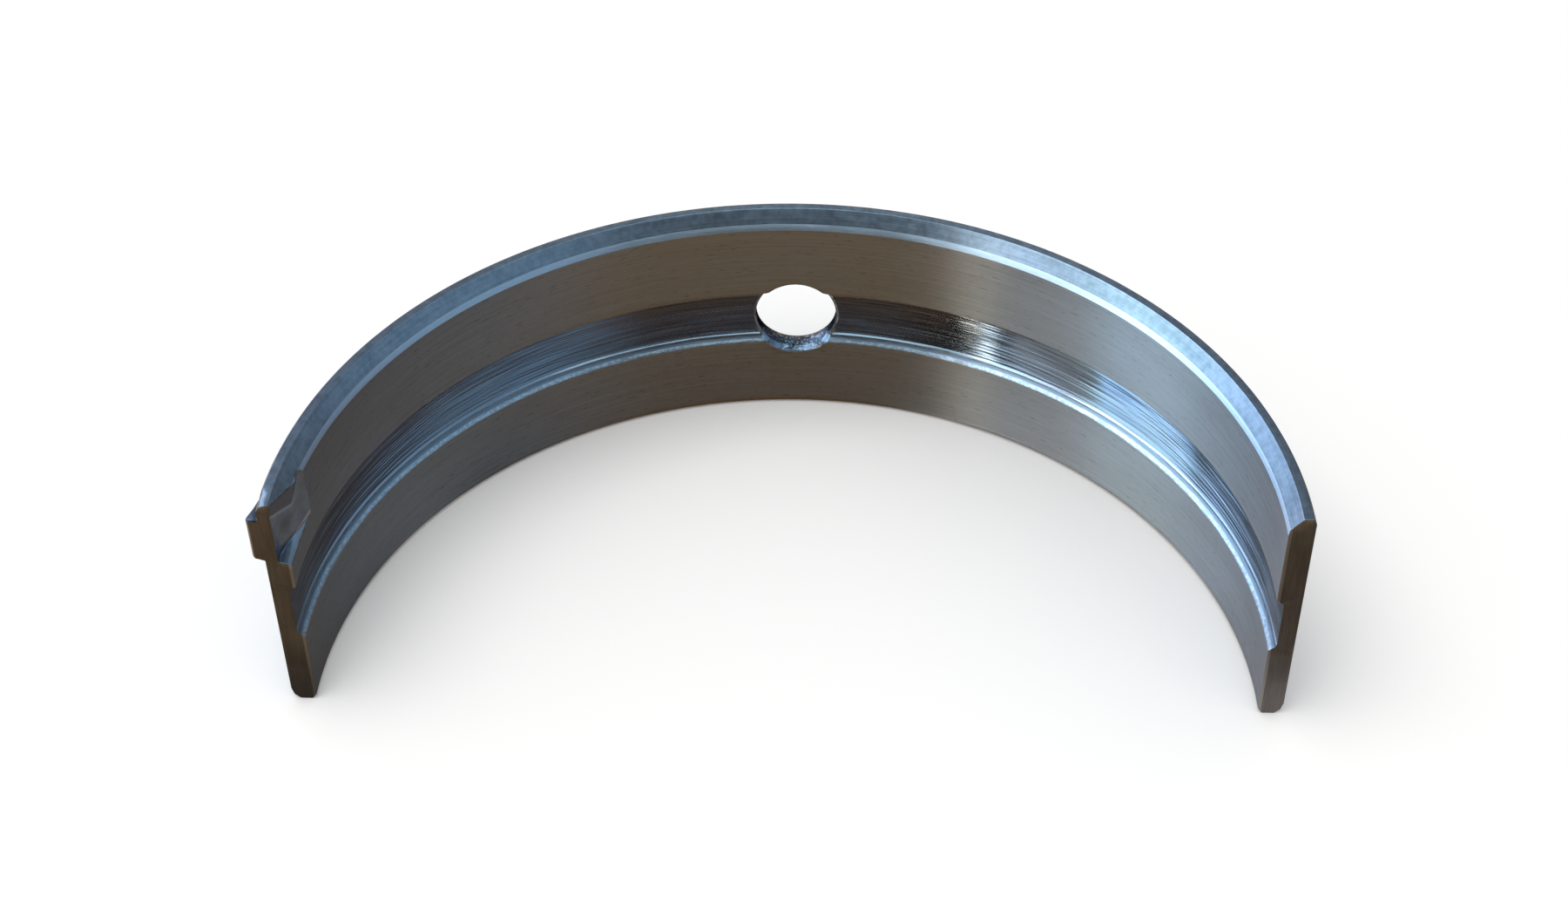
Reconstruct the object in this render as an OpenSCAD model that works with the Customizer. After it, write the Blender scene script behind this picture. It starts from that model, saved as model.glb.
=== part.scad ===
// Half bearing shell of the thin-wall, steel-backed kind.
//
// The bearing axis is Z and the origin lies on it at mid-width. The shell
// fills the half turn on the +Y side, so both parting faces lie in the plane
// Y = 0 and the oil hole at the crown opens along +Y. The shell can stand on
// its lower rim. The locating lug is pressed outwards at the -X parting face,
// next to the upper rim. All lengths are in millimetres.

/* [Shell] */
// Outer diameter of the steel back, as seated in its housing
outer_diameter = 80; // [70:0.5:95]
// Wall thickness, steel back and bonded lining together
wall = 2; // [1.8:0.05:2.8]
// Width of the shell along the bearing axis
width = 21.2; // [18:0.1:30]

/* [Upper rim] */
// Radial depth of the wide inner chamfer, lining bevel included
rim_chamfer_radial = 1; // [0.6:0.05:1.2]
// Axial depth of the wide inner chamfer
rim_chamfer_axial = 0.95; // [0.5:0.05:1.4]
// Radial depth of the steep bevel in the lining below the chamfer
lining_bevel_radial = 0.15; // [0.05:0.05:0.3]
// Axial length of the steep bevel in the lining
lining_bevel_axial = 0.7; // [0.3:0.05:1.2]
// Radial depth of the outer edge break
rim_break_radial = 0.28; // [0.1:0.02:0.4]
// Axial length of the outer edge break
rim_break_axial = 0.5; // [0.2:0.05:1]

/* [Lower rim] */
// Radial depth of the small inner chamfer
foot_chamfer_radial = 0.35; // [0.1:0.05:0.6]
// Axial depth of the small inner chamfer
foot_chamfer_axial = 0.5; // [0.2:0.05:1]
// Radial reach of the outer corner
foot_corner_radial = 0.65; // [0.2:0.05:0.8]
// Axial reach of the outer corner
foot_corner_axial = 1.15; // [0.3:0.05:1.6]

/* [Oil groove] */
// Width of the groove at the running surface
groove_width = 5.45; // [3:0.05:7]
// Depth of the groove below the running surface
groove_depth = 0.6; // [0.3:0.05:0.9]
// Axial run of each sloping groove wall
groove_wall_run = 0.5; // [0.3:0.05:1.2]
// Groove centre above mid-width, so that both lands are alike
groove_offset = -0.68; // [-1.5:0.02:1.5]

/* [Oil hole] */
// Diameter of the oil hole at the crown
hole_diameter = 7.2; // [4:0.1:9]

/* [Locating lug] */
// Height of the lug above the steel back at the parting face
lug_proud = 0.97; // [0.5:0.01:1.3]
// Axial width of the lug
lug_width = 4.15; // [3:0.05:5.5]
// Distance of the lug's upper edge below the upper rim
lug_below_rim = 1.6; // [0.6:0.1:2.5]
// Length along which the lug runs out into the steel back
lug_length = 4.8; // [3:0.1:6]
// Depth of the pressed pocket behind the lug, at the parting face
pocket_depth = 1.2; // [0.6:0.02:1.3]
// Length along which the pocket floor rises to the running surface
pocket_length = 6; // [4:0.1:7]
// Height of the pocket's lower edge below the upper rim
pocket_reach = 6.1; // [4.5:0.1:7]
// Lean of the pocket floor towards the axis at the rim, in degrees
pocket_lean = 1.6; // [0:0.1:3]

/* [Hidden] */
$fn = 180;
// Radii of the steel back and of the running surface
ro = outer_diameter / 2;
ri = ro - wall;
// Heights of the two rims
top = width / 2;
foot = -width / 2;
// Edges of the oil groove on the running surface
groove_hi = groove_offset + groove_width / 2;
groove_lo = groove_offset - groove_width / 2;
// Half-plane distance of a circle of radius r at height y
function chord(r, y) = sqrt(r * r - y * y);
// Slope of the pocket floor in plan
pocket_angle = atan2(ri + pocket_depth - chord(ri, pocket_length), pocket_length);

// Cross-section of the wall, radius across and height up
module wall_section() {
    polygon([
        // running surface with the groove, from the lower rim upwards
        [ri, foot + foot_chamfer_axial],
        [ri, groove_lo],
        [ri + groove_depth, groove_lo + groove_wall_run],
        [ri + groove_depth, groove_hi - groove_wall_run],
        [ri, groove_hi],
        [ri, top - rim_chamfer_axial - lining_bevel_axial],
        // lining bevel, wide chamfer, flat and edge break of the upper rim
        [ri + lining_bevel_radial, top - rim_chamfer_axial],
        [ri + rim_chamfer_radial, top],
        [ro - rim_break_radial, top],
        [ro, top - rim_break_axial],
        // back and rounded outer corner of the lower rim
        [ro, foot + foot_corner_axial],
        [ro - foot_corner_radial * 0.27, foot + foot_corner_axial * 0.4],
        [ro - foot_corner_radial, foot],
        [ri + foot_chamfer_radial, foot]
    ]);
}

// Half turn of the wall
module half_wall() {
    rotate_extrude(angle = 180) wall_section();
}

// Lug: rounded block section, run out along the back by a sloping plan
module lug() {
    hi = top - lug_below_rim;
    lo = hi - lug_width;
    inner = ro - wall * 0.3;
    proud = ro + lug_proud;
    intersection() {
        // section across the lug, carried along +Y
        translate([0, lug_length, 0]) rotate([90, 0, 0])
            linear_extrude(height = lug_length)
                polygon([
                    [-inner, lo],
                    [-(proud - lug_proud * 0.45), lo],
                    [-(proud - lug_proud * 0.12), lo + 0.2],
                    [-proud, lo + 0.55],
                    [-proud, hi - 0.3],
                    [-(proud - lug_proud * 0.12), hi],
                    [-inner, hi]
                ]);
        // plan of the run-out
        translate([0, 0, lo - 1])
            linear_extrude(height = lug_width + 2)
                polygon([
                    [-proud - 0.001, 0],
                    [-inner, 0],
                    [-inner, lug_length],
                    [-chord(ro, lug_length) + 0.08, lug_length]
                ]);
    }
}

// Pocket: a block whose sloping side is the pressed floor behind the lug
module pocket() {
    translate([-(ri + pocket_depth), 0, top - pocket_reach])
        rotate([0, pocket_lean, -pocket_angle])
            translate([0, -2, 0]) cube([5, pocket_length + 4, pocket_reach + 4]);
}

// Oil hole through the crown
module oil_hole() {
    translate([0, ri - 6, groove_offset]) rotate([-90, 0, 0])
        cylinder(d = hole_diameter, h = wall + 10);
}

// The whole shell, one solid
module bearing_shell() {
    color([0.55, 0.57, 0.6])
        difference() {
            union() {
                half_wall();
                lug();
            }
            oil_hole();
            pocket();
        }
}

bearing_shell();
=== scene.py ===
import math

import bmesh
import bpy
import numpy as np
from mathutils import Matrix, Vector
from mathutils.geometry import delaunay_2d_cdt


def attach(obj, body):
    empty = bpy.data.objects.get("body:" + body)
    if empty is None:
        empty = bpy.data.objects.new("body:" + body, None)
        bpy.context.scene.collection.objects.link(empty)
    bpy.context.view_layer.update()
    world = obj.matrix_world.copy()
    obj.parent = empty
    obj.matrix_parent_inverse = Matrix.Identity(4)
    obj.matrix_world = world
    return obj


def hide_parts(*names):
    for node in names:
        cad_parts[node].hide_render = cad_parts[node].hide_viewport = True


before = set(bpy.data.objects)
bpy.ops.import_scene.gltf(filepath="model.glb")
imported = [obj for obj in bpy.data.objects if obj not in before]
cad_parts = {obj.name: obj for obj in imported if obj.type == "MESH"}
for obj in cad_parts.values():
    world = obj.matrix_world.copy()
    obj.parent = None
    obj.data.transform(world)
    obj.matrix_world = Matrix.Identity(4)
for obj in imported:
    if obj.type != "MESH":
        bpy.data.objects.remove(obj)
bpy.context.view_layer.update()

# Lengths below are in millimetres, heights from the lower rim. The mesh is
# scaled to metres and set on the frame at the end.
FOOT = -10.6
ARC = 38.0
HOLE_R, HOLE_Z = 3.6, 9.92

# Zones of the surface, one material each
BACK, RIM, LINING, BEVEL, GROOVE, PARTING, DRILLED, FOOT_FACE, WALL, POCKET, LIP = range(11)

# ------------------------------------------------------------------ section
# radius, height, corner rounding, zone of the stretch that follows
CORNERS = [
    (38.35, 0.00, 0.10, LINING),
    (38.00, 0.50, 0.14, LINING),
    (38.00, 7.15, 0.20, WALL),
    (38.60, 7.70, 0.55, GROOVE),
    (38.60, 12.145, 0.30, WALL),
    (38.00, 12.645, 0.05, LINING),
    (38.00, 19.53, 0.10, BEVEL),
    (38.035, 19.88, 0.30, BEVEL),
    (38.085, 20.17, 0.06, RIM),
    (39.00, 21.20, 0.05, RIM),
    (39.72, 21.20, 0.08, RIM),
    (40.00, 20.70, 0.16, BACK),
    (40.00, 1.15, 0.45, BACK),
    (39.8245, 0.46, 0.35, BACK),
    (39.35, 0.00, 0.22, FOOT_FACE),
]
ARC_STEPS = 4
# heights at which the stretch after a corner is cut: (from, to, step)
CUTS = {
    0: [(0.0, 0.5, 0.25)],
    1: [(0.5, 4.6, 0.8), (4.6, 7.15, 0.28)],
    2: [(7.15, 7.7, 0.12)],
    3: [(7.7, 12.145, 0.17)],
    4: [(12.145, 12.645, 0.14)],
    5: [(12.645, 14.6, 0.27), (14.6, 15.6, 0.05), (15.6, 17.8, 0.2), (17.8, 19.53, 0.085)],
    6: [(19.53, 19.88, 0.09)],
    7: [(19.88, 20.17, 0.09)],
    8: [(20.17, 21.2, 0.1)],
    10: [(21.2, 20.7, 0.12)],
    11: [(20.7, 19.8, 0.22), (19.8, 19.4, 0.045), (19.4, 15.96, 0.35), (15.96, 15.2, 0.055), (15.1, 14.4, 0.25), (14.4, 5.0, 0.55), (5.0, 1.15, 0.9)],
    12: [(1.15, 0.46, 0.2)],
    13: [(0.46, 0.0, 0.15)],
}


def section():
    """Closed outline of the wall: radius, height, and the zone after each row."""
    n = len(CORNERS)
    pts = [np.array(c[:2]) for c in CORNERS]
    starts, ends = [], []
    for k in range(n):
        to_prev = pts[k - 1] - pts[k]
        to_next = pts[(k + 1) % n] - pts[k]
        lp, ln = np.linalg.norm(to_prev), np.linalg.norm(to_next)
        turn = math.pi - math.acos(np.clip(to_prev @ to_next / lp / ln, -1, 1))
        reach = min(CORNERS[k][2] * math.tan(turn / 2), 0.42 * lp, 0.42 * ln)
        starts.append(pts[k] + to_prev / lp * reach)
        ends.append(pts[k] + to_next / ln * reach)
    rows, zones = [], []
    for k in range(n):
        before, after = CORNERS[k - 1][3], CORNERS[k][3]
        for m in range(ARC_STEPS + 1):
            t = m / ARC_STEPS
            rows.append((1 - t) ** 2 * starts[k] + 2 * t * (1 - t) * pts[k] + t * t * ends[k])
            zones.append(before if t < 0.5 else after)
        a, b = ends[k], starts[(k + 1) % n]
        if k in CUTS:
            inner = []
            for z0, z1, step in CUTS[k]:
                count = max(1, round(abs(z1 - z0) / step))
                inner += list(np.linspace(z0, z1, count + 1))
            lo, hi = sorted((a[1], b[1]))
            room = 0.03
            inner = sorted({round(z, 5) for z in inner if lo + room < z < hi - room}, reverse=a[1] > b[1])
            spots = [(z - a[1]) / (b[1] - a[1]) for z in inner]
        else:
            count = max(1, round(np.linalg.norm(b - a) / 0.2))
            spots = [m / count for m in range(1, count)]
        for t in spots:
            rows.append(a + (b - a) * t)
            zones.append(after)
    return np.array(rows), np.array(zones)


ROWS, ZONES = section()
N_ROWS = len(ROWS)
row_r, row_z = ROWS[:, 0], ROWS[:, 1]
outer_row = row_r > 39.35

# ----------------------------------------------------------------- columns
# distance along the arc from the plain parting face, at the bore
LENGTH = math.pi * ARC
END_Y = [0.0, 0.012, 0.035]
END_INSET = [0.032, 0.009, 0.0]
lug_zone = 8.4
cols = [0.16, 0.4] + list(np.arange(0.9, LENGTH - lug_zone, 0.6))
cols += list(np.linspace(cols[-1] + 0.3, LENGTH - 0.45, 52)) + [LENGTH - 0.3, LENGTH - 0.16, LENGTH - 0.08]
cols = np.array(cols)


def waves(s, seed, lo, hi, n=9):
    """Seeded smooth wander along the arc, about -1 to 1; wavelengths lo to hi."""
    rng = np.random.default_rng(seed)
    out = np.zeros_like(s, dtype=float)
    for _ in range(n):
        out += np.sin(2 * math.pi * s / rng.uniform(lo, hi) + rng.uniform(0, 6.28))
    return out / math.sqrt(n / 2) / 1.8


def smooth(x, lo, hi):
    t = np.clip((x - lo) / (hi - lo), 0, 1)
    return t * t * (3 - 2 * t)


def soft_min(a, b, k):
    h = np.clip(0.5 + 0.5 * (b - a) / k, 0, 1)
    return b + (a - b) * h - k * h * (1 - h)


def rounding(u, r):
    """Drop of a corner of radius r at distance u from its side."""
    return r - np.sqrt(r * r - (r - np.clip(u, 0, r)) ** 2)


def crease(t):
    """Height at which the lining's edge was drawn down across the pocket floor."""
    rise = np.clip((t - 3.4) / 1.25, 0, 1)
    return np.where(t < 3.4, 19.85 - 0.5 * t, 18.15 + 1.35 * rise ** 1.7)


def pocket(t, z):
    """Depth of the pressed pocket behind the lug at arc t from its parting face.

    Also how far bare steel shows there, painted darker as shade and darkest in the punch's dent, and how far the
    lining's edge shows, painted light as a highlight too.
    """
    t0 = 6.03 - 0.045 * (z - 15.1)
    d0 = 1.26 - 0.058 * np.maximum(z - 16.5, 0)
    floor = (1 - t / t0) * (d0 - t * t0 / 76)
    floor = np.where(t < t0, floor, -0.2 * (t - t0))
    # above the crease the bare steel leans towards the axis
    up = z - crease(t)
    reach = smooth(4.8 - t, 0.0, 0.4)
    floor = floor - 0.13 * reach * np.maximum(up, 0)
    # the punch left a shallow dent in the floor
    dent = np.exp(-(((t - 2.2) / 0.8) ** 2 + ((z - 17.2) / 0.7) ** 2))
    floor = floor + 0.13 * dent
    # lower wall: the lining rolls over, then the steel steps back
    low = 14.78 + 0.05 * np.maximum(t - 2.0, 0)
    drop = 0.36 + 0.03 * t
    roll = z - low
    ledge = drop + (z - low - drop) * 5.0
    wall = -soft_min(-roll, -ledge, 0.03)
    d = np.maximum(soft_min(floor, wall, 0.05), 0)
    # bare steel above the crease and on the step; its dark colour is partly painted shade
    bare_steel_and_shade = np.maximum(reach * smooth(up, 0.05, 0.16), smooth(z - low - drop, 0.0, 0.04) * (1 - smooth(wall - floor, -0.05, 0.06)))
    # the dent's hollow is painted dark through the same mask: painted shade
    bare_steel_and_shade = np.maximum(bare_steel_and_shade, 0.85 * dent)
    # the lining's edge along the crease and the roll: lining, with a painted highlight on it
    edge = np.maximum(0.95 * reach * np.exp(-((up / 0.15) ** 2)), (1 - smooth(z - low - drop, -0.08, 0.02)) * smooth(wall, 0.02, 0.06))
    return d, bare_steel_and_shade, edge


def lug(t, z):
    """Height of the lug above the back at arc t from its parting face."""
    ramp = (1 - t / 4.75) * (0.97 - t * 4.75 / 80)
    ramp = np.where(t < 4.75, ramp, -0.2 * (t - 4.75))
    low, high = z - 15.36, 19.66 - z
    h = ramp - rounding(low, 0.55) - rounding(high, 0.22)
    h = np.minimum(h, np.minimum(9.0 * low, 20.0 * high))
    return np.maximum(h, 0)


RIDGE = np.random.default_rng(11).normal(0, 0.011, N_ROWS) * smooth(row_z, 7.8, 8.1) * smooth(row_z, 12.0, 11.7) * ~outer_row


def surface(s):
    """Radius and height of every row at arc s from the plain parting face, and the pocket's marks there."""
    r, z = row_r.copy(), row_z.copy()
    # a tool leaves the groove's edges slightly uneven
    clear = smooth(abs(s - LENGTH / 2), 6.2, 9.0)
    one = np.array([s])
    low_edge = np.exp(-(((row_z - 7.15) / 0.2) ** 2)) * ~outer_row
    high_edge = np.exp(-(((row_z - 12.645) / 0.16) ** 2)) * ~outer_row
    z += clear * low_edge * (0.022 * waves(one, 3, 1.6, 5.5)[0] + 0.014 * waves(one, 4, 7, 19)[0])
    z += clear * high_edge * 0.012 * waves(one, 5, 2.0, 9)[0]
    # long milled ridges along the groove floor
    r += clear * RIDGE * (0.6 + 0.4 * waves(one, 6, 9, 31)[0])
    t = LENGTH - s
    marks = np.zeros((N_ROWS, 3))
    if t < lug_zone:
        inner = ~outer_row & (z > 14.0)
        d, bare_steel_and_shade, edge = pocket(t, z)
        target = np.maximum(r, np.minimum(38.0 + d, 39.0))
        press = np.where(inner & (d > 0), target - r, 0)
        r = r + press
        marks = np.stack([press, bare_steel_and_shade * smooth(press, 0, 0.02), edge * smooth(press, 0, 0.02)], -1)
        out = outer_row & (z > 14.8) & (row_r > 39.6)
        r = np.where(out, r + lug(t, z) * smooth(row_r, 39.68, 39.9), r)
        # the rim above the lug is rubbed down at its outer edge
        rub = (0.17 + 0.05 * math.sin(5.2 * t + 0.6)) * (1 - smooth(t, 0.9, 2.5))
        z = z - np.where(row_z > 20.55, rub * smooth(row_r, 39.28, 39.78), 0)
    return r, z, marks


def inset(r, z, by):
    """Outline moved inwards by the given distance."""
    p = np.stack([r, z], -1)
    d = np.roll(p, -1, 0) - np.roll(p, 1, 0)
    d /= np.linalg.norm(d, axis=1)[:, None] + 1e-9
    # rows run up the bore and down the back, so the solid is to the right
    return r + d[:, 1] * by, z - d[:, 0] * by


verts, marks_of = [], []


def add_column(x, y, z, marks):
    start = len(verts)
    verts.extend(zip(x, y, z))
    marks_of.extend(marks)
    return start


def on_lug(r):
    return smooth(r, 39.98, 40.12) * outer_row


starts = []
for y, by in zip(END_Y, END_INSET):
    r, z, marks = surface(y)
    r, z = inset(r, z, by)
    starts.append(add_column(np.sqrt(r * r - y * y), np.full(N_ROWS, y), z, marks))
# the pressed lug's own end has a much rounder edge than the parting face
LUG_BACK = 0.30
LUG_END_Y = [0.03, 0.11, 0.27]
LUG_END_INSET = [0.24, 0.075, 0.0]
for s in cols:
    r, z, marks = surface(s)
    a = s / ARC
    back = LUG_BACK * on_lug(r) * (1 - smooth(LENGTH - s, 0.0, 1.5))
    starts.append(add_column(r * math.cos(a), r * math.sin(a) + back, z, marks))
for m in (2, 1, 0):
    y = END_Y[m]
    r, z, marks = surface(LENGTH - y)
    k = on_lug(r)
    r, z = inset(r, z, END_INSET[m] * (1 - k) + LUG_END_INSET[m] * k)
    yy = y * (1 - k) + LUG_END_Y[m] * k
    starts.append(add_column(-np.sqrt(r * r - yy * yy), yy, z, marks))
N_COLS = len(starts)
col_arc = np.array([0.0, 0.0, 0.0] + list(cols) + [LENGTH] * 3)

faces, face_zone = [], []

# --------------------------------------------------------------- hole patch
mid = LENGTH / 2
i0 = int(np.max(np.where(col_arc < mid - 5.5)))
i1 = int(np.min(np.where(col_arc > mid + 5.5)))


def row_at(z, outer, below):
    ok = [j for j in range(N_ROWS) if bool(outer_row[j]) == outer and (row_z[j] < z) == below and 2 < row_z[j] < 19]
    return (max if below else min)(ok, key=lambda j: row_z[j])


def lip(e, phi, outer):
    """How far the surface moves outwards at distance e from the hole's edge."""
    w = 0.16 if outer else 0.13
    k = np.clip(1 - e / w, 0, 1)
    fall = w * (1 - np.sqrt(np.clip(1 - k * k, 0, 1)))
    if outer:
        return -fall
    # the edge is broken all round, deeper and less evenly on the lower side
    lower = smooth(-np.sin(phi), 0.35, 0.95)
    wide = 0.22 + 0.13 * lower + 0.03 * np.sin(3 * phi + 0.4) + 0.025 * np.sin(7 * phi + 2.0)
    deep = 0.12 + 0.28 * lower * (1 + 0.22 * np.sin(9 * phi + 1) + 0.15 * np.sin(17 * phi + 2.3))
    k = np.clip(1 - e / wide, 0, 1)
    bump = 0.03 * lower * np.exp(-(((e - 0.40) / 0.09) ** 2)) * (1 + np.sin(6 * phi + 0.5))
    return deep * k ** 1.2 - bump


def hole_patch(outer):
    j_lo, j_hi = row_at(5.3, outer, True), row_at(14.45, outer, False)
    rows = sorted(range(min(j_lo, j_hi), max(j_lo, j_hi) + 1), key=lambda j: row_z[j])
    reach = 0.72
    pts, edges = [], []

    def point(x, z):
        pts.append((x, z))
        return len(pts) - 1

    grid = {}
    edge_loop = []
    for j in rows:
        for i in range(i0, i1 + 1):
            x, z = row_r[j] * math.cos(col_arc[i] / ARC), row_z[j]
            border = i in (i0, i1) or j in (rows[0], rows[-1])
            if border or math.hypot(x, z - HOLE_Z) > HOLE_R + reach:
                grid[i, j] = point(x, z)
    on_edge = []
    for j in rows:
        dz = row_z[j] - HOLE_Z
        kept = [i for i in range(i0, i1 + 1) if (i, j) in grid]
        right = [i for i in kept if math.cos(col_arc[i] / ARC) > 0]
        left = [i for i in kept if math.cos(col_arc[i] / ARC) <= 0]
        for side in (right, left):
            edges.extend((grid[a, j], grid[b, j]) for a, b in zip(side, side[1:]))
        near_r, near_l = grid[right[-1], j], grid[left[0], j]
        if abs(dz) < HOLE_R - 1e-3:
            x = math.sqrt(HOLE_R ** 2 - dz * dz)
            if not outer:
                on_edge += [math.atan2(dz, x), math.atan2(dz, -x)]
                edges.append((near_r, point(x, row_z[j])))
                edges.append((near_l, point(-x, row_z[j])))
        else:
            edges.append((near_r, near_l))
    for i in (i0, i1):
        edges.extend((grid[i, a], grid[i, b]) for a, b in zip(rows, rows[1:]))
    rings = (0.0, 0.05, 0.11, 0.18, 0.25, 0.31, 0.36, 0.44, 0.56) if not outer else (0.0, 0.04, 0.1, 0.16, 0.4)
    for e in rings:
        phis = list(np.linspace(-math.pi, math.pi, 161)[:-1])
        if e == 0 and on_edge:
            phis = [p for p in phis if min(abs(p - q) for q in on_edge) > 0.012] + on_edge
        phis = sorted(phis)
        ids = [point((HOLE_R + e) * math.cos(p), HOLE_Z + (HOLE_R + e) * math.sin(p)) for p in phis]
        edges.extend(zip(ids, ids[1:] + ids[:1]))
    border = [grid[i, rows[0]] for i in range(i0, i1 + 1)]
    border += [grid[i1, j] for j in rows[1:]]
    border += [grid[i, rows[-1]] for i in range(i1 - 1, i0 - 1, -1)]
    border += [grid[i0, j] for j in rows[-2:0:-1]]
    poly = np.array([pts[k] for k in border])
    out_v, _, out_f, _, _, _ = delaunay_2d_cdt([Vector(p) for p in pts], edges, [], 0, 1e-5, True)
    xy = np.array([(v[0], v[1]) for v in out_v], float)
    keep = []
    for f in out_f:
        c = xy[list(f)].mean(0)
        if math.hypot(c[0], c[1] - HOLE_Z) < HOLE_R:
            continue
        a, b = poly, np.roll(poly, -1, 0)
        cross = (a[:, 1] > c[1]) != (b[:, 1] > c[1])
        at = a[:, 0] + (c[1] - a[:, 1]) / np.where(cross, b[:, 1] - a[:, 1], 1) * (b[:, 0] - a[:, 0])
        if np.count_nonzero(cross & (c[0] < at)) % 2:
            keep.append(list(f))
    # back onto the surface
    if outer:
        base = np.full(len(xy), 40.0)
    else:
        order = sorted((j for j in range(N_ROWS) if not outer_row[j] and 0.6 < row_z[j] < 19.4), key=lambda j: row_z[j])
        base = np.interp(xy[:, 1], row_z[order], row_r[order])
    rho = np.hypot(xy[:, 0], xy[:, 1] - HOLE_Z)
    phi = np.arctan2(xy[:, 1] - HOLE_Z, xy[:, 0])
    e = np.clip(rho - HOLE_R, 0, None)
    r = base + np.where(e < 0.7, lip(e, phi, outer), 0)
    y = np.sqrt(r * r - xy[:, 0] ** 2)
    used = sorted({k for f in keep for k in f})
    offset = {k: len(verts) + n for n, k in enumerate(used)}
    for k in used:
        verts.append((xy[k, 0], y[k], xy[k, 1]))
        marks_of.append((0.0, 0.0, 0.0))
    for f in keep:
        c = xy[f].mean(0)
        if outer:
            zone = BACK
        else:
            near = math.hypot(c[0], c[1] - HOLE_Z) - HOLE_R
            zone = LIP if near < (0.34 if c[1] < HOLE_Z - 1.6 else 0.2) else GROOVE if 7.7 < c[1] < 12.14 else WALL if 7.17 < c[1] < 12.67 else LINING
        faces.append([offset[k] for k in f])
        face_zone.append(zone)
    ring = sorted((k for k in used if abs(rho[k] - HOLE_R) < 2e-4), key=lambda k: phi[k])
    return {(i, j) for i in range(i0, i1) for j in range(min(rows), max(rows))}, [(phi[k], offset[k]) for k in ring]


cut_in, ring_in = hole_patch(False)
cut_out, ring_out = hole_patch(True)

# wall of the hole: the two rings zipped by angle
a, b = ring_in, ring_out
shift = min(range(len(b)), key=lambda k: abs(b[k][0] - a[0][0]))
b = b[shift:] + [(p + 2 * math.pi, v) for p, v in b[:shift]]
a = a + [(a[0][0] + 2 * math.pi, a[0][1])]
b = b + [(b[0][0] + 2 * math.pi, b[0][1])]
i = j = 0
while i < len(a) - 1 or j < len(b) - 1:
    if j == len(b) - 1 or (i < len(a) - 1 and a[i + 1][0] <= b[j + 1][0]):
        faces.append([a[i][1], a[i + 1][1], b[j][1]])
        i += 1
    else:
        faces.append([a[i][1], b[j + 1][1], b[j][1]])
        j += 1
    face_zone.append(DRILLED)

# swept faces
for i in range(N_COLS - 1):
    for j in range(N_ROWS):
        if (i, j) in cut_in or (i, j) in cut_out:
            continue
        k = (j + 1) % N_ROWS
        faces.append([starts[i] + j, starts[i + 1] + j, starts[i + 1] + k, starts[i] + k])
        end = i < 2 or i > N_COLS - 4
        pressed = max(marks_of[v][0] for v in faces[-1]) > 0.004
        face_zone.append(PARTING if end else POCKET if pressed else int(ZONES[j]))
faces.append([starts[0] + j for j in range(N_ROWS)])
face_zone.append(PARTING)
faces.append([starts[-1] + j for j in range(N_ROWS)][::-1])
face_zone.append(PARTING)

# ------------------------------------------------------------------- mesh
bm = bmesh.new()
layers = [bm.verts.layers.float.new(name) for name in ("press", "bare_steel_and_shade", "edge")]
made = []
for co, marks in zip(verts, marks_of):
    v = bm.verts.new(co)
    for layer, m in zip(layers, marks):
        v[layer] = float(m)
    made.append(v)
for f, zone in zip(faces, face_zone):
    face = bm.faces.new([made[k] for k in f])
    face.material_index = zone
    face.smooth = len(f) <= 4
bmesh.ops.delete(bm, geom=[v for v in bm.verts if not v.link_faces], context="VERTS")
bmesh.ops.remove_doubles(bm, verts=bm.verts[:], dist=4e-4)
bmesh.ops.triangulate(bm, faces=[f for f in bm.faces if len(f.verts) > 4], quad_method="BEAUTY", ngon_method="BEAUTY")
bmesh.ops.recalc_face_normals(bm, faces=bm.faces[:])
mesh = bpy.data.meshes.new("bearing_shell_visual")
bm.to_mesh(mesh)
open_edges = sum(1 for e in bm.edges if len(e.link_faces) != 2)
volume = bm.calc_volume(signed=True)
bm.free()
print("shell mesh:", len(mesh.vertices), "verts,", len(mesh.polygons), "faces,", open_edges, "open edges,", round(volume, 1), "mm3")
mesh.transform(Matrix.Translation((0, 0, FOOT)))
mesh.transform(Matrix.Diagonal((0.001, 0.001, 0.001, 1)))
shell = bpy.data.objects.new("bearing_shell_visual", mesh)
bpy.context.scene.collection.objects.link(shell)
weigh = shell.modifiers.new("even_normals", "WEIGHTED_NORMAL")
weigh.mode = "FACE_AREA"
weigh.weight = 60
weigh.keep_sharp = False


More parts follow.
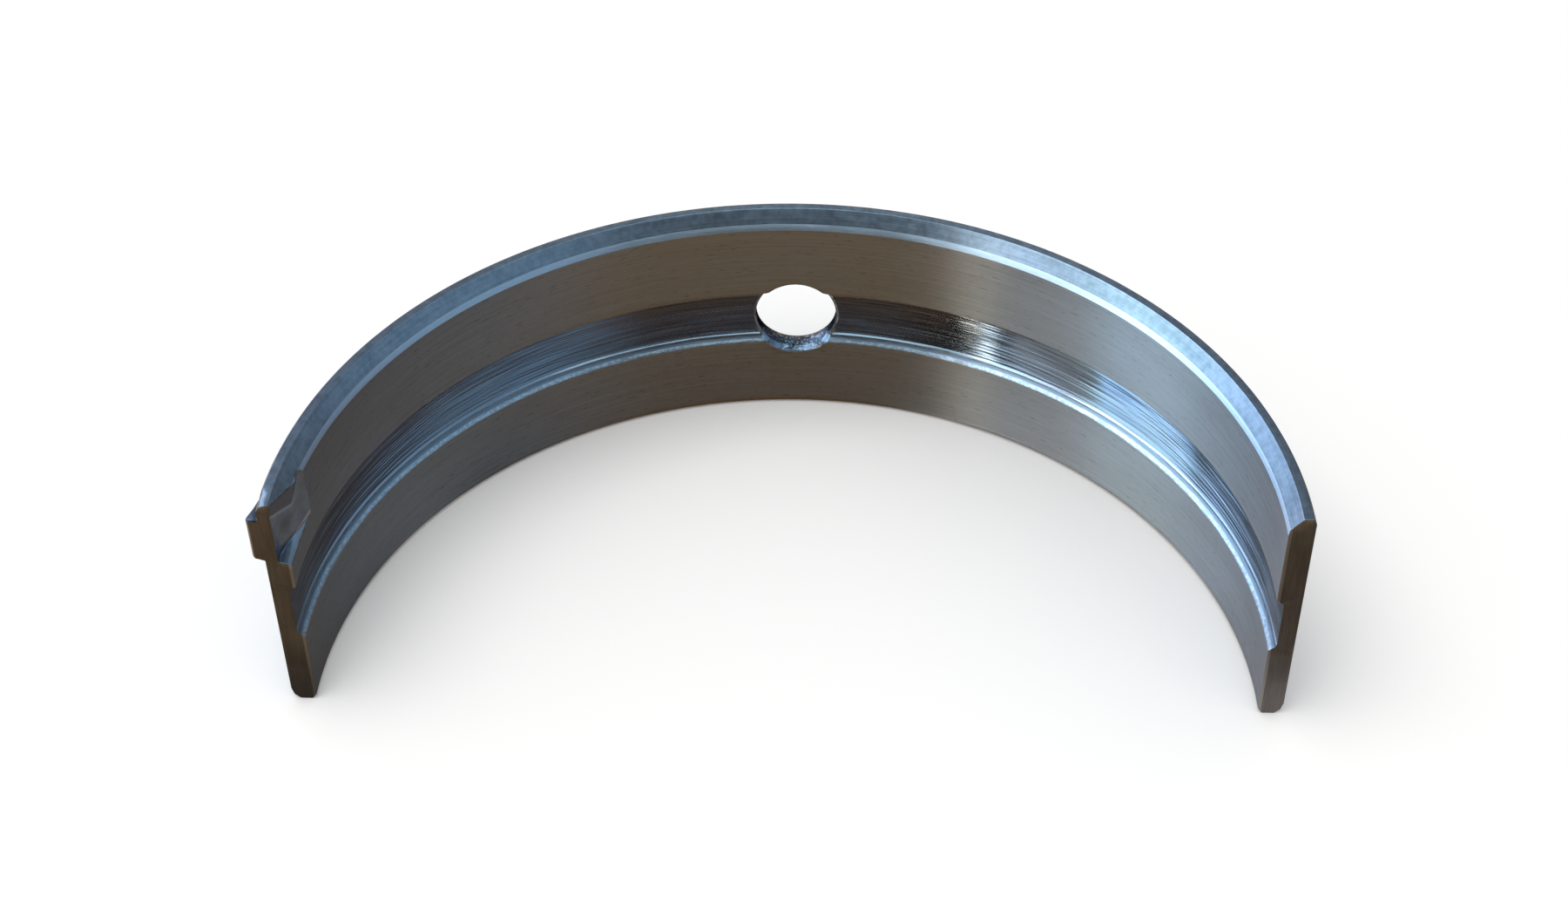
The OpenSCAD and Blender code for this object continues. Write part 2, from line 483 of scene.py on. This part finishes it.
# -------------------------------------------------------------- node helper
class Graph:
    def __init__(self, tree):
        self.tree = tree
        tree.nodes.clear()

    def node(self, kind, **props):
        n = self.tree.nodes.new(kind)
        for k, v in props.items():
            setattr(n, k, v)
        return n

    def put(self, socket, value):
        if isinstance(value, bpy.types.NodeSocket):
            self.tree.links.new(value, socket)
        else:
            socket.default_value = value

    def math(self, op, *args, clamp=False):
        n = self.node("ShaderNodeMath", operation=op, use_clamp=clamp)
        for socket, v in zip(n.inputs, args):
            self.put(socket, v)
        return n.outputs[0]

    def add(self, a, b):
        return self.math("ADD", a, b)

    def mul(self, a, b, clamp=False):
        return self.math("MULTIPLY", a, b, clamp=clamp)

    def madd(self, a, b, c, clamp=False):
        return self.math("MULTIPLY_ADD", a, b, c, clamp=clamp)

    def step(self, v, lo, hi, to_lo=0.0, to_hi=1.0):
        n = self.node("ShaderNodeMapRange", interpolation_type="SMOOTHSTEP")
        for k, x in zip(("Value", "From Min", "From Max", "To Min", "To Max"), (v, lo, hi, to_lo, to_hi)):
            self.put(n.inputs[k], x)
        return n.outputs[0]

    def band(self, v, a0, a1, b1, b0):
        """Rises from a0 to a1, falls from b1 to b0."""
        return self.mul(self.step(v, a0, a1), self.step(v, b1, b0, 1.0, 0.0))

    def vec(self, x, y, z=0.0):
        n = self.node("ShaderNodeCombineXYZ")
        for socket, v in zip(n.inputs, (x, y, z)):
            self.put(socket, v)
        return n.outputs[0]

    def split(self, v):
        n = self.node("ShaderNodeSeparateXYZ")
        self.put(n.inputs[0], v)
        return n.outputs

    def noise(self, v, detail=2.0, rough=0.5, scale=1.0, lac=2.0):
        n = self.node("ShaderNodeTexNoise", noise_dimensions="3D")
        self.put(n.inputs["Vector"], v)
        n.inputs["Scale"].default_value = scale
        n.inputs["Detail"].default_value = detail
        n.inputs["Roughness"].default_value = rough
        n.inputs["Lacunarity"].default_value = lac
        return n.outputs[0]

    def mix(self, f, a, b, blend="MIX"):
        n = self.node("ShaderNodeMix", data_type="RGBA", blend_type=blend)
        self.put(n.inputs[0], f)
        self.put(n.inputs[6], a if isinstance(a, bpy.types.NodeSocket) else (*a, 1.0))
        self.put(n.inputs[7], b if isinstance(b, bpy.types.NodeSocket) else (*b, 1.0))
        return n.outputs[2]

    def place(self):
        """Object coordinates as arc, height and radius, in millimetres."""
        co = self.node("ShaderNodeTexCoord").outputs["Object"]
        x, y, z = self.split(co)
        arc = self.mul(self.math("ARCTAN2", y, x), ARC)
        height = self.madd(z, 1000.0, -FOOT)
        rad = self.mul(self.math("SQRT", self.add(self.mul(x, x), self.mul(y, y))), 1000.0)
        flat = self.node("ShaderNodeVectorMath", operation="SCALE")
        self.put(flat.inputs[0], co)
        flat.inputs["Scale"].default_value = 1000.0
        return arc, height, rad, flat.outputs[0]

    def bump(self, height, distance, strength=1.0, normal=None):
        n = self.node("ShaderNodeBump")
        n.inputs["Strength"].default_value = strength
        n.inputs["Distance"].default_value = distance
        self.put(n.inputs["Height"], height)
        if normal is not None:
            self.put(n.inputs["Normal"], normal)
        return n.outputs[0]

    def lean(self, amount):
        """Surface normal leaned towards the axis direction, as a tool's feed marks do."""
        n = self.node("ShaderNodeVectorMath", operation="ADD")
        self.put(n.inputs[0], self.node("ShaderNodeNewGeometry").outputs["Normal"])
        self.put(n.inputs[1], self.vec(0.0, 0.0, amount))
        u = self.node("ShaderNodeVectorMath", operation="NORMALIZE")
        self.put(u.inputs[0], n.outputs[0])
        return u.outputs[0]

    def glow(self, parts):
        """Sum of masks, each in its own colour."""
        total = None
        for mask, colour in parts:
            n = self.node("ShaderNodeVectorMath", operation="SCALE")
            n.inputs[0].default_value = colour
            self.put(n.inputs["Scale"], mask)
            if total is None:
                total = n.outputs[0]
            else:
                both = self.node("ShaderNodeVectorMath", operation="ADD")
                self.put(both.inputs[0], total)
                self.put(both.inputs[1], n.outputs[0])
                total = both.outputs[0]
        return total

    def attribute(self, name):
        return self.node("ShaderNodeAttribute", attribute_name=name).outputs["Fac"]


def metal(name, colour, rough, normal=None, anisotropic=0.0, turn=0.0):
    """Finishes a graph as a metal. colour and rough are sockets of the graph."""
    g = colour[0]
    p = g.node("ShaderNodeBsdfPrincipled")
    p.inputs["Metallic"].default_value = 1.0
    g.put(p.inputs["Base Color"], colour[1])
    g.put(p.inputs["Roughness"], rough)
    if normal is not None:
        g.put(p.inputs["Normal"], normal)
    if anisotropic:
        p.inputs["Anisotropic"].default_value = anisotropic
        p.inputs["Anisotropic Rotation"].default_value = turn
        t = g.node("ShaderNodeTangent", direction_type="RADIAL", axis="Z")
        g.put(p.inputs["Tangent"], t.outputs[0])
    out = g.node("ShaderNodeOutputMaterial")
    g.tree.links.new(p.outputs[0], out.inputs[0])


def new_material(name, colour):
    m = bpy.data.materials.new(name)
    m.use_nodes = True
    m.diffuse_color = (*colour, 1)
    return m, Graph(m.node_tree)


ACROSS = 0.25  # turns the tangent from along the arc to along the axis


def make_lining():
    m, g = new_material("bored_lining", (0.55, 0.52, 0.48))
    arc, z, rad, p = g.place()
    lines = g.noise(g.vec(g.mul(arc, 0.035), g.mul(z, 5.2), 0.0), 3.0, 0.62)
    short = g.noise(g.vec(g.mul(arc, 0.35), g.mul(z, 3.4), 7.0), 2.0, 0.55)
    cloud = g.noise(g.vec(g.mul(arc, 0.09), g.mul(z, 0.16), 3.0), 2.0, 0.5)
    dash = g.noise(g.vec(g.mul(arc, 0.9), g.mul(z, 6.5), 11.0), 1.0, 0.4)
    dashes = g.step(dash, 0.66, 0.74)
    grain = g.noise(g.vec(g.mul(arc, 2.6), g.mul(z, 1.9), 15.0), 2.0, 0.55)
    feed = g.noise(g.vec(g.mul(arc, 0.06), g.mul(z, 8.5), 21.0), 2.0, 0.55)
    tone = g.add(g.mul(lines, 0.4), g.add(g.mul(feed, 0.3), g.add(g.mul(short, 0.18), g.mul(cloud, 0.12))))
    colour = g.mix(g.step(tone, 0.34, 0.66), (0.59, 0.53, 0.465), (0.73, 0.66, 0.585))
    colour = g.mix(g.mul(dashes, 0.45), colour, (0.2, 0.18, 0.155))
    rough = g.madd(g.add(g.mul(lines, 0.7), g.mul(cloud, 0.5)), 0.14, 0.345)
    bump = g.bump(g.add(g.add(g.mul(feed, 1.1), g.mul(lines, 0.35)), g.mul(grain, 0.28)), 0.000026, 1.0)
    metal(m.name, (g, colour), rough, bump, 1.0, ACROSS)
    return m


def make_bevel():
    m, g = new_material("lining_bevel", (0.75, 0.75, 0.74))
    arc, z, rad, p = g.place()
    lines = g.noise(g.vec(g.mul(arc, 0.05), g.mul(z, 7.0), 0.0), 3.0, 0.6)
    cloud = g.noise(g.vec(g.mul(arc, 0.3), g.mul(z, 0.8), 4.0), 2.0, 0.5)
    fleck = g.noise(g.vec(g.mul(arc, 1.6), g.mul(z, 6.0), 9.0), 2.0, 0.6)
    colour = g.mix(g.step(g.add(g.mul(lines, 0.5), g.mul(fleck, 0.5)), 0.36, 0.64), (0.88, 0.875, 0.87), (0.98, 0.975, 0.965))
    rough = g.madd(cloud, 0.16, 0.26)
    bump = g.bump(g.add(lines, g.mul(fleck, 0.5)), 0.000015, 1.0, g.lean(0.72))
    metal(m.name, (g, colour), rough, bump, 0.6, ACROSS)
    return m


def make_rim():
    m, g = new_material("turned_rim", (0.56, 0.58, 0.6))
    arc, z, rad, p = g.place()
    # concentric turning lines follow the radius on the chamfer and the flat
    across = g.add(g.mul(rad, 5.0), g.mul(z, 2.0))
    lines = g.noise(g.vec(g.mul(arc, 0.06), across, 0.0), 3.0, 0.6)
    mottle = g.noise(g.vec(g.mul(arc, 0.5), g.mul(rad, 0.9), 2.0), 3.0, 0.6)
    cloud = g.noise(g.vec(g.mul(arc, 0.11), g.mul(rad, 0.4), 6.0), 2.0, 0.5)
    fleck = g.noise(p, 2.0, 0.55, 1.9)
    tone = g.add(g.mul(lines, 0.3), g.add(g.mul(mottle, 0.25), g.add(g.mul(cloud, 0.15), g.mul(fleck, 0.3))))
    colour = g.mix(g.step(tone, 0.36, 0.64), (0.375, 0.39, 0.405), (0.595, 0.61, 0.625))
    rough = g.madd(g.add(mottle, fleck), 0.10, 0.22)
    bump = g.bump(g.add(g.mul(lines, 0.3), g.add(g.mul(mottle, 0.5), fleck)), 0.000009, 1.0)
    metal(m.name, (g, colour), rough, bump, 0.5, ACROSS)
    return m


def make_groove():
    m, g = new_material("milled_groove", (0.45, 0.46, 0.48))
    arc, z, rad, p = g.place()
    lines = g.noise(g.vec(g.mul(arc, 0.05), g.mul(z, 3.4), 0.0), 1.0, 0.55)
    streak = g.noise(g.vec(g.mul(arc, 0.16), g.mul(z, 2.0), 5.0), 1.0, 0.5)
    fine = g.noise(g.vec(g.mul(arc, 0.07), g.mul(z, 5.5), 9.0), 0.0, 0.5)
    tone = g.add(g.mul(lines, 0.4), g.add(g.mul(streak, 0.25), g.mul(fine, 0.35)))
    steel = g.mix(g.step(tone, 0.38, 0.62), (0.33, 0.332, 0.34), (0.48, 0.483, 0.49))
    # the rounded lower corner of the floor is painted lighter: a painted highlight
    fillet = g.step(z, 8.08, 7.85)
    steel = g.mix(g.mul(fillet, 0.65), steel, (0.76, 0.77, 0.79))
    rough = g.madd(tone, 0.12, 0.125)
    lean = g.lean(g.add(g.add(g.madd(tone, 0.5, -0.25), g.madd(z, -0.05, 1.17)), g.mul(fillet, 0.25)))
    mill = g.noise(g.vec(g.mul(arc, 0.24), g.mul(z, 4.2), 13.0), 0.0, 0.5)
    bump = g.bump(g.add(g.mul(lines, 0.5), g.mul(mill, 1.2)), 0.00003, 1.0, lean)
    metal(m.name, (g, steel), rough, bump, 1.0, ACROSS)
    return m


def make_wall():
    m, g = new_material("groove_wall", (0.6, 0.6, 0.6))
    arc, z, rad, p = g.place()
    lines = g.noise(g.vec(g.mul(arc, 0.22), g.mul(rad, 7.0), g.mul(z, 0.5)), 3.0, 0.6)
    nicks = g.noise(g.vec(g.mul(arc, 1.1), g.mul(rad, 2.0), 5.0), 2.0, 0.5)
    speck = g.noise(g.vec(g.mul(arc, 3.2), g.mul(rad, 4.0), g.mul(z, 4.0)), 2.0, 0.6)
    steel = g.mix(g.step(lines, 0.34, 0.66), (0.48, 0.49, 0.51), (0.66, 0.67, 0.69))
    worn = g.madd(nicks, 0.10, rad)
    seam = g.band(worn, 38.33, 38.41, 38.50, 38.60)
    steel = g.mix(seam, steel, (0.36, 0.37, 0.39))
    layer = g.step(worn, 38.27, 38.36, 1.0, 0.0)
    lining = g.mix(g.step(speck, 0.38, 0.62), (0.66, 0.65, 0.635), (0.93, 0.92, 0.90))
    colour = g.mix(layer, steel, lining)
    rough = g.madd(nicks, 0.22, 0.22)
    bump = g.bump(g.add(lines, g.mul(nicks, 0.6)), 0.00002, 1.0)
    metal(m.name, (g, colour), rough, bump, 0.5, ACROSS)
    return m


def make_parting():
    m, g = new_material("broached_face", (0.5, 0.48, 0.45))
    arc, z, rad, p = g.place()
    lines = g.noise(g.vec(g.mul(rad, 4.0), g.mul(z, 0.25), 0.0), 3.0, 0.6)
    cloud = g.noise(g.vec(g.mul(rad, 0.6), g.mul(z, 0.35), 4.0), 2.0, 0.5)
    tone = g.add(g.mul(lines, 0.6), g.mul(cloud, 0.4))
    steel = g.mix(g.step(tone, 0.34, 0.66), (0.35, 0.32, 0.285), (0.46, 0.425, 0.385))
    lining = g.step(rad, 38.2, 38.3, 1.0, 0.0)
    colour = g.mix(lining, steel, (0.80, 0.77, 0.72))
    # the lug's outer edge is painted lighter, a painted highlight on its rounding; its top is painted dark as shade
    colour = g.mix(g.step(rad, 40.68, 40.80), colour, (0.85, 0.76, 0.70))
    painted_shade_top = g.mul(g.step(rad, 40.03, 40.12), g.step(z, 19.40, 19.52))
    colour = g.mix(painted_shade_top, colour, (0.11, 0.12, 0.135))
    rough = g.madd(tone, 0.2, 0.3)
    bump = g.bump(lines, 0.000006, 1.0)
    metal(m.name, (g, colour), rough, bump)
    return m


def make_drilled():
    m, g = new_material("drilled_wall", (0.45, 0.46, 0.48))
    arc, z, rad, p = g.place()
    grain = g.noise(p, 3.0, 0.65, 4.5)
    lines = g.noise(g.vec(g.mul(rad, 6.0), g.mul(arc, 0.3), g.mul(z, 0.3)), 2.0, 0.5)
    # the wall inside the hole is painted dark as shade, with bright specks painted as glints where the grain peaks
    colour = g.mix(g.step(grain, 0.50, 0.66), (0.13, 0.14, 0.16), (0.72, 0.73, 0.75))
    rough = g.madd(grain, 0.35, 0.15)
    bump = g.bump(g.add(grain, g.mul(lines, 0.5)), 0.00004, 1.0)
    metal(m.name, (g, colour), rough, bump)
    return m


def make_pocket():
    m, g = new_material("pressed_pocket", (0.45, 0.44, 0.43))
    arc, z, rad, p = g.place()
    grain = g.noise(p, 3.0, 0.6, 3.0)
    cloud = g.noise(p, 2.0, 0.5, 0.7)
    # the pressed floor's cool blue cast is painted reflection
    floor = g.mix(g.step(g.add(g.mul(grain, 0.5), g.mul(cloud, 0.5)), 0.36, 0.64), (0.38, 0.43, 0.48), (0.53, 0.585, 0.64))
    # bare steel, painted dark as shade above the crease and in the dent
    colour = g.mix(g.attribute("bare_steel_and_shade"), floor, (0.30, 0.30, 0.31))
    # the lining's edge is painted bluish white: lining, with a painted highlight
    colour = g.mix(g.attribute("edge"), colour, (0.86, 0.89, 0.92))
    rough = g.madd(grain, 0.16, 0.16)
    bump = g.bump(g.add(g.mul(grain, 0.4), cloud), 0.00003, 1.0)
    metal(m.name, (g, colour), rough, bump)
    return m


def make_lip():
    m, g = new_material("broken_edge", (0.7, 0.7, 0.7))
    arc, z, rad, p = g.place()
    grain = g.noise(p, 3.0, 0.6, 2.6)
    # the broken edge is burnished bright; its blue cast is painted reflection
    colour = g.mix(g.step(grain, 0.36, 0.64), (0.44, 0.50, 0.57), (0.74, 0.82, 0.90))
    rough = g.madd(grain, 0.25, 0.22)
    bump = g.bump(grain, 0.00008, 1.0)
    metal(m.name, (g, colour), rough, bump)
    return m


def make_back():
    m, g = new_material("satin_back", (0.5, 0.5, 0.5))
    arc, z, rad, p = g.place()
    lines = g.noise(g.vec(g.mul(arc, 0.08), g.mul(z, 4.0), 0.0), 3.0, 0.6)
    mottle = g.noise(p, 3.0, 0.6, 0.55)
    fine = g.noise(p, 2.0, 0.6, 5.0)
    tone = g.add(g.mul(lines, 0.3), g.add(g.mul(mottle, 0.5), g.mul(fine, 0.2)))
    colour = g.mix(g.step(tone, 0.34, 0.66), (0.42, 0.425, 0.43), (0.58, 0.585, 0.59))
    # the lug's top facet is painted dark: painted shade
    top = g.mul(g.step(rad, 40.03, 40.14), g.step(z, 19.40, 19.55))
    colour = g.mix(top, colour, (0.13, 0.135, 0.145))
    rough = g.madd(g.add(mottle, fine), 0.14, 0.28)
    bump = g.bump(g.add(lines, fine), 0.000005, 1.0)
    metal(m.name, (g, colour), rough, bump, 0.4, ACROSS)
    return m


def make_foot():
    m, g = new_material("turned_foot", (0.52, 0.53, 0.54))
    arc, z, rad, p = g.place()
    lines = g.noise(g.vec(g.mul(arc, 0.06), g.mul(rad, 6.0), 0.0), 3.0, 0.6)
    mottle = g.noise(p, 2.0, 0.6, 0.9)
    colour = g.mix(g.step(g.add(g.mul(lines, 0.6), g.mul(mottle, 0.4)), 0.34, 0.66), (0.44, 0.45, 0.46), (0.60, 0.61, 0.62))
    rough = g.madd(mottle, 0.2, 0.24)
    bump = g.bump(lines, 0.000006, 1.0)
    metal(m.name, (g, colour), rough, bump, 0.5, ACROSS)
    return m


for make in (make_back, make_rim, make_lining, make_bevel, make_groove, make_parting, make_drilled, make_foot, make_wall, make_pocket, make_lip):
    mesh.materials.append(make())

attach(shell, "root")
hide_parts("bearing_shell")

# ------------------------------------------------------------------- stage
floor_mesh = bpy.data.meshes.new("floor")
half = 3.0
floor_mesh.from_pydata([(-half, -half, 0), (half, -half, 0), (half, half, 0), (-half, half, 0)], [], [(0, 1, 2, 3)])
floor = bpy.data.objects.new("floor", floor_mesh)
floor.location = (0, 0, FOOT * 0.001 - 0.00001)
bpy.context.scene.collection.objects.link(floor)
fm = bpy.data.materials.new("pale_floor")
fm.use_nodes = True
g = Graph(fm.node_tree)
pale = g.node("ShaderNodeBsdfDiffuse")
pale.inputs["Color"].default_value = (0.88, 0.88, 0.88, 1)
# polished metal sees a brown bench top where the camera sees the pale floor
co = g.node("ShaderNodeTexCoord").outputs["Object"]
fx, fy, fz = (g.mul(v, 1000.0) for v in g.split(co))
# the dim fields over the inside and left of the shell's arc are the shell's shadow on the bench, painted
# rise and fall along X, rise and fall along Y, colour
BENCH = [
    ((-26, -12, 6, 16), (8, 18, 44, 48), (0.11, 0.07, 0.03)),
    ((-16, -6, 8, 18), (-8, -2, 8, 18), (0.56, 0.41, 0.18)),
    ((-90, -60, -24, -12), (-8, -2, 44, 48), (0.06, 0.05, 0.04)),
    ((-36, -30, -16, -9), (2, 8, 20, 27), (0.07, 0.08, 0.10)),
    ((-120, -90, -54, -45), (-4, 2, 30, 40), (0.56, 0.49, 0.43)),
    ((6, 18, 60, 90), (-8, -2, 44, 48), (0.28, 0.27, 0.28)),
    ((-200, -100, -24, -12), (-60, -36, -8, -2), (0.15, 0.11, 0.07)),
    ((12, 24, 100, 200), (-60, -36, -8, -2), (0.09, 0.07, 0.05)),
    ((-400, -200, 200, 400), (-900, -600, -60, -36), (0.42, 0.31, 0.22)),
]
bench = g.glow([(g.mul(g.band(fx, *ax), g.band(fy, *ay)), colour) for ax, ay, colour in BENCH])
glow = g.node("ShaderNodeEmission")
g.put(glow.inputs["Color"], bench)
sees = g.node("ShaderNodeLightPath").outputs["Is Glossy Ray"]
blend = g.node("ShaderNodeMixShader")
g.put(blend.inputs[0], sees)
g.tree.links.new(pale.outputs[0], blend.inputs[1])
g.tree.links.new(glow.outputs[0], blend.inputs[2])
out = g.node("ShaderNodeOutputMaterial")
g.tree.links.new(blend.outputs[0], out.inputs[0])
floor_mesh.materials.append(fm)

# ------------------------------------------------------------------- light
scene = bpy.context.scene
world = bpy.data.worlds.new("studio")
scene.world = world
world.use_nodes = True
g = Graph(world.node_tree)
way = g.node("ShaderNodeTexCoord").outputs["Generated"]
x, y, z = g.split(way)
# azimuth from -X, positive towards +Y, and elevation, in degrees
az = g.mul(g.math("ARCTAN2", y, g.mul(x, -1.0)), 57.2958)
el = g.mul(g.math("ARCSINE", z), 57.2958)
# soft cards around the part: rise and fall in azimuth, in elevation, lean, colour
CARDS = [
    ((-48.6, -47.3, -45.2, -43.8), (22, 36, 50, 62), 0.25, (4.00, 5.00, 5.70)),
    ((-48.6, -47.3, -45.2, -43.8), (-6, -3, 4, 10), 0.25, (10.0, 9.70, 8.30)),
    ((-42, -38, -21, -17), (4, 10, 32, 42), 0.0, (0.36, 0.40, 0.44)),
    ((-37, -33, -24, -18), (36, 46, 58, 66), 0.0, (1.75, 2.75, 3.90)),
    ((-20, -17.5, 4, 10), (3, 8, 16, 22), 0.0, (1.12, 2.05, 3.85)),
    ((-12, -5, 3, 9), (4, 9, 17, 24), 0.0, (0.28, 0.34, 0.03)),
    ((-20, -17.5, 6, 16), (16, 22, 42, 50), 0.0, (0.92, 1.52, 1.75)),
    ((-16, -8, 32, 46), (42, 50, 60, 68), 0.0, (3.12, 3.97, 5.60)),
    ((6, 16, 36, 48), (8, 15, 28, 36), 0.0, (0.68, 1.12, 1.80)),
    ((6, 16, 34, 46), (28, 36, 42, 50), 0.0, (1.45, 2.35, 3.50)),
    ((36, 48, 58, 70), (2, 10, 26, 36), 0.0, (0.72, 1.00, 1.60)),
    ((46, 60, 100, 130), (-6, -1, 10, 20), 0.0, (1.26, 1.07, 0.82)),
    ((-150, -125, -66, -54), (20, 30, 60, 70), 0.0, (0.03, 0.03, 0.04)),
    ((-150, -125, -58, -50), (-6, -1, 20, 30), 0.0, (0.11, 0.08, 0.06)),
    ((118, 128, 142, 152), (4, 9, 18, 26), 0.0, (0.05, 0.09, 0.12)),
    ((60, 80, 110, 130), (14, 24, 54, 66), 0.0, (0.13, 0.18, 0.25)),
]
cards = []
for turn_band, rise_band, lean, colour in CARDS:
    spot = g.add(az, g.madd(el, -lean, 20.0 * lean)) if lean else az
    cards.append((g.mul(g.band(spot, *turn_band), g.band(el, *rise_band)), colour))
# the right-hand side, across the line where the azimuth wraps, and overhead
side = g.step(g.math("ABSOLUTE", az), 120.0, 150.0)
cards.append((g.mul(side, g.band(el, 15.0, 26.0, 48.0, 60.0)), (0.18, 0.32, 0.49)))
cards.append((g.mul(side, g.band(el, -6.0, -1.0, 10.0, 20.0)), (0.11, 0.08, 0.10)))
cards.append((g.step(el, 58.0, 70.0), (0.80, 1.24, 1.60)))
sky = g.glow(cards)
gloss = g.node("ShaderNodeBackground")
g.put(gloss.inputs["Color"], sky)
plain = g.node("ShaderNodeBackground")
plain.inputs["Color"].default_value = (1, 1, 1, 1)
plain.inputs["Strength"].default_value = 0.85
sees = g.node("ShaderNodeLightPath").outputs["Is Glossy Ray"]
blend = g.node("ShaderNodeMixShader")
g.put(blend.inputs[0], sees)
g.tree.links.new(plain.outputs[0], blend.inputs[1])
g.tree.links.new(gloss.outputs[0], blend.inputs[2])
out = g.node("ShaderNodeOutputWorld")
g.tree.links.new(blend.outputs[0], out.inputs[0])
world.cycles.sampling_method = "NONE"

soft = bpy.data.lights.new("softbox", "AREA")
soft.shape = "RECTANGLE"
soft.size, soft.size_y = 0.5, 0.4
soft.energy = 1.6
soft.color = (1.0, 0.99, 0.97)
softbox = bpy.data.objects.new("softbox", soft)
softbox.location = (-0.16, -0.06, 0.55)
softbox.rotation_euler = (Vector((0, 0.02, 0)) - Vector(softbox.location)).to_track_quat("-Z", "Y").to_euler()
softbox.visible_glossy = False
scene.collection.objects.link(softbox)

scene.view_settings.view_transform = "Standard"
scene.view_settings.look = "None"

# ------------------------------------------------------------------ camera
cam = bpy.data.cameras.new("camera")
cam.lens = 56.158
cam.sensor_width = 36.0
cam.sensor_fit = "HORIZONTAL"
cam.clip_start, cam.clip_end = 0.005, 20.0
camera = bpy.data.objects.new("camera", cam)
scene.collection.objects.link(camera)
e, a, roll = (math.radians(v) for v in (41.5370, 1.9560, -0.5525))
fwd = Vector((-math.sin(a) * math.cos(e), math.cos(a) * math.cos(e), -math.sin(e)))
right = fwd.cross(Vector((0, 0, 1))).normalized()
up = right.cross(fwd)
right, up = math.cos(roll) * right + math.sin(roll) * up, -math.sin(roll) * right + math.cos(roll) * up
turn = Matrix((right, up, -fwd)).transposed().to_4x4()
camera.matrix_world = Matrix.Translation((0.004715, -0.134724, 0.135533)) @ turn
scene.camera = camera

bpy.context.view_layer.update()
